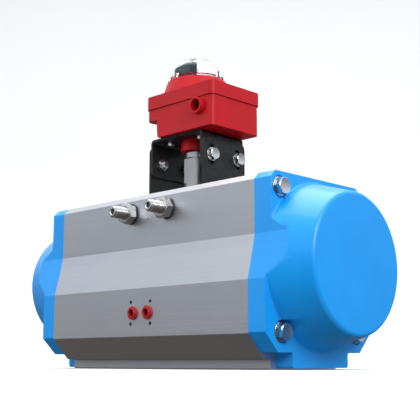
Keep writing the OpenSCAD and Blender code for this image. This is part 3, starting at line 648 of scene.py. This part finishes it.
def make_bracket():
    """A channel under the box and an angle on either side of the pinion, with their holes."""
    bolts, mounts, feet = ([middle(low, high) for low, high in solids(node)]
                           for node in ("bracket_bolts", "box_mount_screws",
                                        "bracket_base_screws"))
    half, long = SHEET / 2, 20 * MM
    low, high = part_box("bracket_top")
    reach, top = high.x - half, high.z - half
    bolt_hole, mount_hole, shaft_hole = 4.3 * MM, 2.8 * MM, 21 * MM
    holes = [round_bar(bolt_hole, long, along(Vector((p.x - long / 2, p.y, p.z)), (1, 0, 0)))
             for p in bolts]
    holes += [round_bar(mount_hole, long, along(Vector((p.x, p.y, top - long / 2)), (0, 0, 1)))
              for p in mounts]
    holes.append(round_bar(shaft_hole, long, along(Vector((0, 0, top - long / 2)), (0, 0, 1))))
    bent_sheet("bracket_channel", "bracket_top",
               [(-reach, low.z), (-reach, top), (reach, top), (reach, low.z)],
               corner=5 * MM, cutters=holes)
    for side, name in ((1, "right"), (-1, "left")):
        node = "bracket_foot_" + name
        low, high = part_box(node)
        leg = side * (min(abs(low.x), abs(high.x)) + half)
        tip = high.x if side > 0 else low.x
        holes = [slot_bar(24 * MM, 8.6 * MM, long,
                          along(Vector((leg - long / 2, p.y, p.z)), (1, 0, 0), math.pi / 2))
                 for p in bolts if p.x * side > 0]
        holes += [slot_bar(18 * MM, 5.8 * MM, long, Matrix.Translation(
                  (p.x, p.y, low.z - long / 2))) for p in feet if p.x * side > 0]
        bent_sheet("bracket_angle_" + name, node,
                   [(leg, high.z), (leg, low.z + half), (tip, low.z + half)],
                   corner=6 * MM, cutters=holes)


make_bracket()


# ---------- camera, light and stage ----------

def aim(item, target):
    """Turns a light or the camera towards a point."""
    item.rotation_euler = (Vector(target) - item.location).to_track_quat("-Z", "Y").to_euler()


def make_camera():
    """Low three-quarter view from the port side, a little above the bench."""
    azimuth, distance, height = math.radians(45.0), 1.04, 0.008
    aim_right, aim_height = 0.016, 0.186
    lens = bpy.data.cameras.new("camera")
    lens.sensor_width = 36.0
    lens.lens = 76.0
    lens.clip_start = 0.01
    camera = bpy.data.objects.new("camera", lens)
    camera.location = (distance * math.sin(azimuth), -distance * math.cos(azimuth), height)
    bpy.context.scene.collection.objects.link(camera)
    right = Vector((math.cos(azimuth), math.sin(azimuth), 0))
    aim(camera, right * aim_right + Vector((0, 0, aim_height)))
    bpy.context.scene.camera = camera


def make_light(name, place, target, size, power, colour=(1, 1, 1), mirrored=True):
    """Round soft light, so many metres across and watts strong, seen in gloss if mirrored."""
    data = bpy.data.lights.new(name, "AREA")
    data.shape = "DISK"
    data.size = size
    data.energy = power
    data.color = colour
    light = bpy.data.objects.new(name, data)
    light.location = place
    light.visible_glossy = mirrored
    bpy.context.scene.collection.objects.link(light)
    aim(light, target)


def make_stage():
    """Pale seamless bench that curves up into a round wall far behind."""
    work = bmesh.new()
    reach, bend, rise, steps, sides = 3.0, 1.2, 4.0, 24, 96
    profile = [(TIP, 0.0)]
    profile += [(reach + bend * math.sin(a), bend - bend * math.cos(a))
                for a in (math.pi / 2 * k / steps for k in range(steps + 1))]
    profile.append((reach + bend, rise))
    rings = [[work.verts.new((r * math.cos(t), r * math.sin(t), z))
              for t in (2 * math.pi * k / sides for k in range(sides))] for r, z in profile]
    for low, high in zip(rings, rings[1:]):
        for k in range(sides):
            after = (k + 1) % sides
            work.faces.new((low[k], low[after], high[after], high[k]))
    work.faces.new(rings[0])
    sheet = bpy.data.objects.new("backdrop", to_mesh("backdrop", work))
    bpy.context.scene.collection.objects.link(sheet)
    shade(sheet, 80)
    sheet.data.materials.append(finish_of("pale_paper", (0.90, 0.90, 0.91), (0.88, 0.88, 0.89),
                                          (0.7, 0.8), cloud=1.5, grain=300.0, bump=0.00001))
    sheet.visible_diffuse = sheet.visible_glossy = sheet.visible_shadow = False


def make_world():
    """Soft sky: dim and warm below, mid grey at eye level, bright and cool overhead."""
    world = bpy.data.worlds.new("studio")
    bpy.context.scene.world = world
    world.use_nodes = True
    tree = world.node_tree
    place = add(tree, "ShaderNodeTexCoord").outputs["Generated"]
    split = add(tree, "ShaderNodeSeparateXYZ")
    tree.links.new(place, split.inputs[0])
    height = remap(tree, split.outputs["Z"], 0.0, 1.0, -1.0, 1.0)
    ramp = add(tree, "ShaderNodeValToRGB")
    stops = [(0.0, (0.07, 0.06, 0.052)), (0.40, (0.13, 0.112, 0.10)), (0.49, (0.31, 0.315, 0.33)),
             (0.57, (0.33, 0.35, 0.38)), (0.64, (0.78, 0.86, 0.98)), (0.8, (0.95, 0.985, 1.0))]
    ramp.color_ramp.elements.remove(ramp.color_ramp.elements[1])
    ramp.color_ramp.elements[0].color = (*stops[0][1], 1)
    for position, colour in stops[1:]:
        ramp.color_ramp.elements.new(position).color = (*colour, 1)
    tree.links.new(height, ramp.inputs["Fac"])
    background = tree.nodes["Background"]
    tree.links.new(ramp.outputs["Color"], background.inputs["Color"])
    background.inputs["Strength"].default_value = 1.0


make_camera()
make_world()
make_stage()
make_light("overhead", (-0.12, 0.15, 1.5), (0, 0, 0.15), size=1.6, power=18,
           colour=(1, 0.99, 0.97))
make_light("side_key", (1.7, -0.5, 1.0), (0.1, 0, 0.15), size=1.1, power=22.5)
make_light("front_fill", (-1.3, -1.9, 0.8), (0, 0, 0.2), size=1.6, power=20, mirrored=False)
make_light("wall_wash", (-0.2, 0.6, 1.2), (-2.4, 2.4, 0.9), size=1.6, power=85)
# The stage is hidden from diffuse light, so this one stands for what it throws back up.
make_light("bench_bounce", (0.55, -0.25, -0.7), (0.2, 0, 0.1), size=0.8, power=1.8,
           mirrored=False)
bpy.context.scene.view_settings.view_transform = "Standard"
